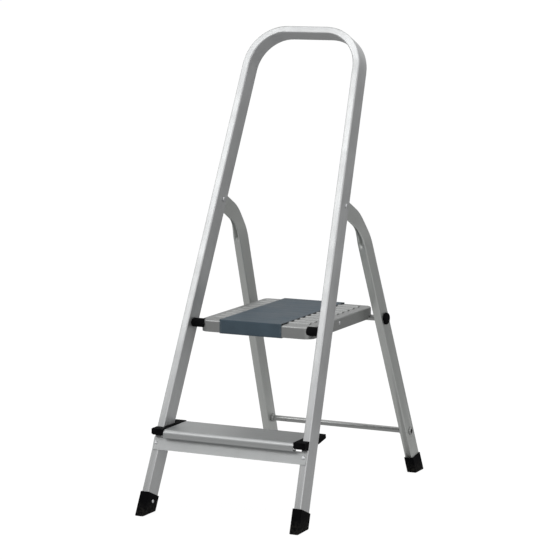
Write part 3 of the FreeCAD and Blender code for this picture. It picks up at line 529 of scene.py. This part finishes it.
class STEPSTOOL_OT_rear_legs(bpy.types.Operator):
    """Rear legs with their front wall folded in where the tube is pressed flat."""

    bl_idname = "stepstool.rear_legs"
    bl_label = "Creased rear legs"

    def execute(self, context):
        finish = context.scene.stepstool_finish
        shape = context.scene.stepstool_shape
        material = drawn_metal("leg_aluminium", tuple(finish.leg_colour), leg_run, 620.0,
                               0.40, 0.86, finish.grain_depth, 0.14)
        for name, piece_name in zip(both("rear_leg"), both("creased_leg")):
            bm = bmesh.new()
            bm.from_mesh(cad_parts[name].data)
            bmesh.ops.remove_doubles(bm, verts=bm.verts, dist=0.00001)
            self.fold(bm, shape)
            for face in bm.faces:
                face.smooth = True
            piece = finish_piece(bm, piece_name, "rear_frame_body", [material])
            piece.data.set_sharp_from_angle(angle=math.radians(28))
            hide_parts(name)
        return {"FINISHED"}

    def fold(self, bm, shape):
        low, high = shape.crease_low, shape.crease_high
        for i in range(CREASE_ROWS + 1):
            z = low - 0.004 + (high - low + 0.010) * i / CREASE_ROWS
            self.slice(bm, (0, 0, z), (0, 0, 1), low - 0.012, high + 0.014)
        sign = 1 if sum(v.co.x for v in bm.verts) > 0 else -1
        for i in range(-CREASE_COLUMNS, CREASE_COLUMNS + 1):
            x = sign * LEG_MIDDLE_AT_FLOOR + i * 0.009 / CREASE_COLUMNS
            self.slice(bm, (x, 0, 0), (1, 0, sign * LEG_TAPER), low - 0.005, high + 0.007)
        bm.normal_update()
        inward = Vector((0, math.cos(LEG_LEAN), math.sin(LEG_LEAN)))
        moves = []
        for v in bm.verts:
            facing = [f.normal.y for f in v.link_faces]
            if not low < v.co.z < high or not (max(facing) < -0.35 or min(facing) > 0.35):
                continue
            middle_y = LEG_FRONT_AT_FLOOR - math.tan(LEG_LEAN) * v.co.z + 0.016
            if v.co.y > middle_y:
                continue
            span = (v.co.z - low) / (high - low)
            half = 0.0040 * (1 - span) ** 0.8 + 0.0012
            off = abs(v.co.x - sign * (LEG_MIDDLE_AT_FLOOR - LEG_TAPER * v.co.z)) / half
            if off < 1:
                depth = shape.crease_depth * min(1.0, span / 0.16) * min(1.0, (1 - span) / 0.3) ** 0.7
                moves.append((v, inward * depth * (1 - off) ** 0.9))
        for v, move in moves:
            v.co += move

    def slice(self, bm, point, normal, low, high):
        """Cuts every face that lies between two heights; only the front wall is moved afterwards."""
        faces = [f for f in bm.faces if low < f.calc_center_median().z < high or
                 (min(v.co.z for v in f.verts) < high and max(v.co.z for v in f.verts) > low)]
        edges = {e for f in faces for e in f.edges}
        verts = {v for f in faces for v in f.verts}
        bmesh.ops.bisect_plane(bm, geom=faces + list(edges) + list(verts), dist=0.000001,
                               plane_co=point, plane_no=normal)


class STEPSTOOL_OT_platform_finish(bpy.types.Operator):
    """Zinc-coated platform, rod, crossbar and bright rivets."""

    bl_idname = "stepstool.platform_finish"
    bl_label = "Platform and rod finish"

    def execute(self, context):
        finish = context.scene.stepstool_finish
        # The last two heights place the painted groove shade and the painted crest highlight of the ribs.
        sheet = zinc_metal("platform_zinc", tuple(finish.platform_colour), sideways_run, 0.42, 0.82, 0.2,
                           (0.4074, 0.4096))
        rod = zinc_metal("rod_zinc", tuple(finish.rod_colour), sideways_run, 0.33, 0.92, 0.6)
        rivet = rivet_metal("rivet_bright", tuple(finish.rivet_colour))
        dress(sheet, "platform_tray", "platform_brace")
        dress(rod, "platform_rod", "lower_crossbar", "crossbar_collars")
        dress(rivet, "apron_rivets", "front_foot_rivets", "rear_foot_rivets", "brace_rivets",
              *both("hinge_rivet"), *both("platform_pin"))
        return {"FINISHED"}


class STEPSTOOL_OT_black_parts(bpy.types.Operator):
    """Moulded plastic caps and bushes, pale washers and rubber boots."""

    bl_idname = "stepstool.black_parts"
    bl_label = "Plastic and rubber finish"

    def execute(self, context):
        finish = context.scene.stepstool_finish
        plastic = moulded("cap_plastic", tuple(finish.plastic_colour), 1500.0, 0.00006, 0.55, 0.70)
        rubber = moulded("boot_rubber", tuple(finish.rubber_colour), 1100.0, 0.00010, 0.50, 0.68,
                         0.03, 0.14)
        washer = moulded("washer_plastic", (0.66, 0.66, 0.62), 1500.0, 0.00004, 0.40, 0.55)
        dress(plastic, *both("tread_end_cap"), *both("pivot_bush"), *both("rod_cap"))
        dress(rubber, *both("front_foot"), *both("rear_foot"))
        dress(washer, *both("hinge_washers"))
        return {"FINISHED"}


class STEPSTOOL_OT_card_sleeve(bpy.types.Operator):
    """Folded card band round the platform, plain on its outside."""

    bl_idname = "stepstool.card_sleeve"
    bl_label = "Card sleeve"

    def execute(self, context):
        shape = context.scene.stepstool_shape
        finish = context.scene.stepstool_finish
        low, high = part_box("label_sleeve")
        first_rib, rib_pitch = -0.119, 0.028
        steps_across = 24
        radius, drop_steps, top_steps = 0.0016, 6, 104
        front, back, top, bottom = low.y + 0.00045, high.y - 0.00045, high.z - 0.0003, low.z + 0.0003
        outline = [(front + 0.009, bottom), (front + 0.0012, bottom), (front, bottom + 0.0012)]
        for i in range(1, drop_steps + 1):
            outline.append((front, bottom + 0.0012 + (top - radius - bottom - 0.0012) * i / drop_steps))
        for i in range(1, 6):
            turn = math.radians(90) * i / 5
            outline.append((front + radius - radius * math.cos(turn), top - radius + radius * math.sin(turn)))
        for i in range(1, top_steps):
            outline.append((front + radius + (back - front - 2 * radius) * i / top_steps, top))
        for i in range(0, 6):
            turn = math.radians(90) * i / 5
            outline.append((back - radius + radius * math.sin(turn), top - radius + radius * math.cos(turn)))
        for i in range(1, drop_steps + 1):
            outline.append((back, top - radius - (top - radius - bottom) * i / drop_steps))
        bm = bmesh.new()
        row = [bm.verts.new((low.x + 0.0003, y, z)) for y, z in outline]
        edges = [bm.edges.new(pair) for pair in zip(row, row[1:])]
        step = (high.x - low.x - 0.0006) / steps_across
        for _ in range(steps_across):
            grown = bmesh.ops.extrude_edge_only(bm, edges=edges)["geom"]
            moved = [v for v in grown if isinstance(v, bmesh.types.BMVert)]
            bmesh.ops.translate(bm, verts=moved, vec=(step, 0, 0))
            edges = [e for e in grown if isinstance(e, bmesh.types.BMEdge)]
        middle, half = (low.x + high.x) / 2, (high.x - low.x) / 2
        for v in bm.verts:
            if v.co.z > top - 1e-5 and front + 0.02 < v.co.y < back - 0.02:
                wave = 0.5 - 0.5 * math.cos(2 * math.pi * (v.co.y - first_rib) / rib_pitch)
                edge = abs(v.co.x - middle) / half
                v.co.z -= shape.card_sag * wave * (0.45 + 0.9 * edge ** 6)
        bmesh.ops.recalc_face_normals(bm, faces=bm.faces)
        if sum(f.normal.z * f.calc_area() for f in bm.faces) < 0:
            bmesh.ops.reverse_faces(bm, faces=bm.faces)
        for face in bm.faces:
            face.smooth = True
        piece = finish_piece(bm, "card_sleeve", "platform_body",
                             [card_face("sleeve_card", tuple(finish.card_colour)), shaded_card_core("sleeve_core_shaded")])
        wall = piece.modifiers.new("Card", "SOLIDIFY")
        wall.thickness = shape.card_thickness
        wall.offset = -1.0
        # The cut rim takes the dark core material, which is partly painted shade for the shadow under the card's
        # edge.
        wall.material_offset_rim = 1
        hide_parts("label_sleeve")
        return {"FINISHED"}


class STEPSTOOL_OT_stage(bpy.types.Operator):
    """Pale floor, soft lights, grey flags and camera."""

    bl_idname = "stepstool.stage"
    bl_label = "Studio stage"

    def execute(self, context):
        scene = context.scene
        stage = scene.stepstool_stage
        scene.view_settings.view_transform = "Standard"
        self.world(scene, stage)
        self.floor(scene)
        self.lights(scene, stage)
        self.flags(scene, stage)
        self.camera(scene, stage)
        return {"FINISHED"}

    def seen_directly(self, tree):
        path = tree.nodes.new("ShaderNodeLightPath")
        seen = maths(tree, "MAXIMUM", path.outputs["Is Camera Ray"], path.outputs["Is Glossy Ray"])
        return maths(tree, "MAXIMUM", seen, path.outputs["Is Transmission Ray"])

    def world(self, scene, stage):
        world = bpy.data.worlds.new("studio")
        scene.world = world
        world.use_nodes = True
        tree = world.node_tree
        background = tree.nodes["Background"]
        background.inputs["Color"].default_value = (1, 1, 1, 1)
        level = ramp(tree, self.seen_directly(tree), 0.0, 1.0, stage.room_level, 1.0)
        tree.links.new(level, background.inputs["Strength"])

    def floor(self, scene):
        bm = bmesh.new()
        bmesh.ops.create_grid(bm, x_segments=1, y_segments=1, size=30.0)
        bmesh.ops.translate(bm, verts=bm.verts, vec=(0, 0, -0.0004))
        mesh = bpy.data.meshes.new("studio_floor")
        bm.to_mesh(mesh)
        bm.free()
        floor = bpy.data.objects.new("studio_floor", mesh)
        scene.collection.objects.link(floor)
        material = bpy.data.materials.new("studio_floor")
        material.use_nodes = True
        tree = material.node_tree
        tree.nodes.clear()
        matte = add(tree, "ShaderNodeBsdfDiffuse", {"Color": (0.82, 0.82, 0.82, 1)})
        glow = add(tree, "ShaderNodeEmission", {"Color": (1, 1, 1, 1), "Strength": 1.10})
        share = maths(tree, "MULTIPLY", self.seen_directly(tree), 0.86)
        mixed = add(tree, "ShaderNodeMixShader", {0: share, 1: matte.outputs[0], 2: glow.outputs[0]})
        end = tree.nodes.new("ShaderNodeOutputMaterial")
        tree.links.new(mixed.outputs[0], end.inputs["Surface"])
        mesh.materials.append(material)

    def lights(self, scene, stage):
        for name, place, aim, size, power in (
                ("key", (-1.42, -1.95, 2.42), (0.0, 0.0, 0.8), 1.25, stage.key_power),
                ("top", (0.3, -0.5, 3.3), (0.0, 0.0, 0.4), 1.6, stage.top_power),
                ("fill", (2.8, -1.6, 1.6), (0.0, 0.0, 0.5), 1.8, stage.fill_power)):
            lamp = bpy.data.lights.new(name, "AREA")
            lamp.shape = "SQUARE"
            lamp.size = size
            lamp.energy = power
            holder = bpy.data.objects.new(name, lamp)
            holder.location = place
            holder.rotation_euler = (Vector(aim) - Vector(place)).to_track_quat("-Z", "Y").to_euler()
            scene.collection.objects.link(holder)

    def flag(self, scene, name, near, far, half, grey):
        """A matt studio flag from its near edge to its far edge, seen only in reflections."""
        near, far = Vector(near), Vector(far)
        across = (far - near).cross(Vector((0, 0, 1))).normalized() * half
        bm = bmesh.new()
        row = [bm.verts.new(near - across), bm.verts.new(near + across)]
        edge = bm.edges.new(row)
        grown = bmesh.ops.extrude_edge_only(bm, edges=[edge])["geom"]
        moved = [v for v in grown if isinstance(v, bmesh.types.BMVert)]
        bmesh.ops.translate(bm, verts=moved, vec=far - near)
        mesh = bpy.data.meshes.new(name)
        bm.to_mesh(mesh)
        bm.free()
        card = bpy.data.objects.new(name, mesh)
        scene.collection.objects.link(card)
        material = bpy.data.materials.new(name)
        material.use_nodes = True
        tree = material.node_tree
        tree.nodes.clear()
        glow = add(tree, "ShaderNodeEmission", {"Color": (grey, grey, grey, 1), "Strength": 1.0})
        end = tree.nodes.new("ShaderNodeOutputMaterial")
        tree.links.new(glow.outputs[0], end.inputs["Surface"])
        mesh.materials.append(material)
        card.visible_camera = False
        card.visible_diffuse = False
        card.visible_shadow = False
        card.visible_transmission = False

    def flags(self, scene, stage):
        self.flag(scene, "flag_behind", (0.2, 0.75, 0.004), (0.4, 3.4, 1.7), 3.0, stage.flag_grey)
        self.flag(scene, "flag_mat", (0.0, 0.78, 0.003), (-0.6, -2.3, 0.003), 1.9, stage.mat_grey)
        self.flag(scene, "flag_front", (-0.6, -1.9, 0.004), (-1.5, -3.4, 2.15), 1.7, stage.flag_grey)

    def camera(self, scene, stage):
        azimuth, elevation = stage.camera_azimuth, stage.camera_elevation
        back = Vector((math.sin(azimuth) * math.cos(elevation),
                       -math.cos(azimuth) * math.cos(elevation), math.sin(elevation)))
        right = Vector((math.cos(azimuth), math.sin(azimuth), 0.0))
        up = back.cross(right)
        c, s = math.cos(stage.camera_roll), math.sin(stage.camera_roll)
        right, up = right * c + up * s, up * c - right * s
        view = bpy.data.cameras.new("camera")
        view.lens = stage.camera_lens
        view.sensor_width = 36.0
        view.clip_end = 200.0
        holder = bpy.data.objects.new("camera", view)
        turn = Matrix((right, up, back)).transposed().to_4x4()
        holder.matrix_world = Matrix.Translation(Vector(stage.camera_target) + back * stage.camera_distance) @ turn
        scene.collection.objects.link(holder)
        scene.camera = holder


class STEPSTOOL_PT_panel(bpy.types.Panel):
    """Sidebar list of the settings and the steps, in order."""

    bl_idname = "STEPSTOOL_PT_panel"
    bl_label = "Step Stool"
    bl_space_type = "VIEW_3D"
    bl_region_type = "UI"
    bl_category = "Step Stool"

    def draw(self, context):
        layout = self.layout
        for group in (context.scene.stepstool_finish, context.scene.stepstool_shape,
                      context.scene.stepstool_stage):
            for key in group.bl_rna.properties.keys():
                if key not in ("rna_type", "name"):
                    layout.prop(group, key)
        for step in STEPS:
            layout.operator(step.bl_idname)


STEPS = (STEPSTOOL_OT_tube_finish, STEPSTOOL_OT_rear_legs, STEPSTOOL_OT_platform_finish,
         STEPSTOOL_OT_black_parts, STEPSTOOL_OT_card_sleeve, STEPSTOOL_OT_stage)
CLASSES = (StepStoolFinish, StepStoolShape, StepStoolStage) + STEPS + (STEPSTOOL_PT_panel,)


def register():
    for cls in CLASSES:
        bpy.utils.register_class(cls)
    bpy.types.Scene.stepstool_finish = PointerProperty(type=StepStoolFinish)
    bpy.types.Scene.stepstool_shape = PointerProperty(type=StepStoolShape)
    bpy.types.Scene.stepstool_stage = PointerProperty(type=StepStoolStage)


def unregister():
    del bpy.types.Scene.stepstool_stage
    del bpy.types.Scene.stepstool_shape
    del bpy.types.Scene.stepstool_finish
    for cls in reversed(CLASSES):
        bpy.utils.unregister_class(cls)


def main():
    register()
    for step in STEPS:
        group, name = step.bl_idname.split(".")
        getattr(getattr(bpy.ops, group), name)()


if __name__ == "__main__":
    main()
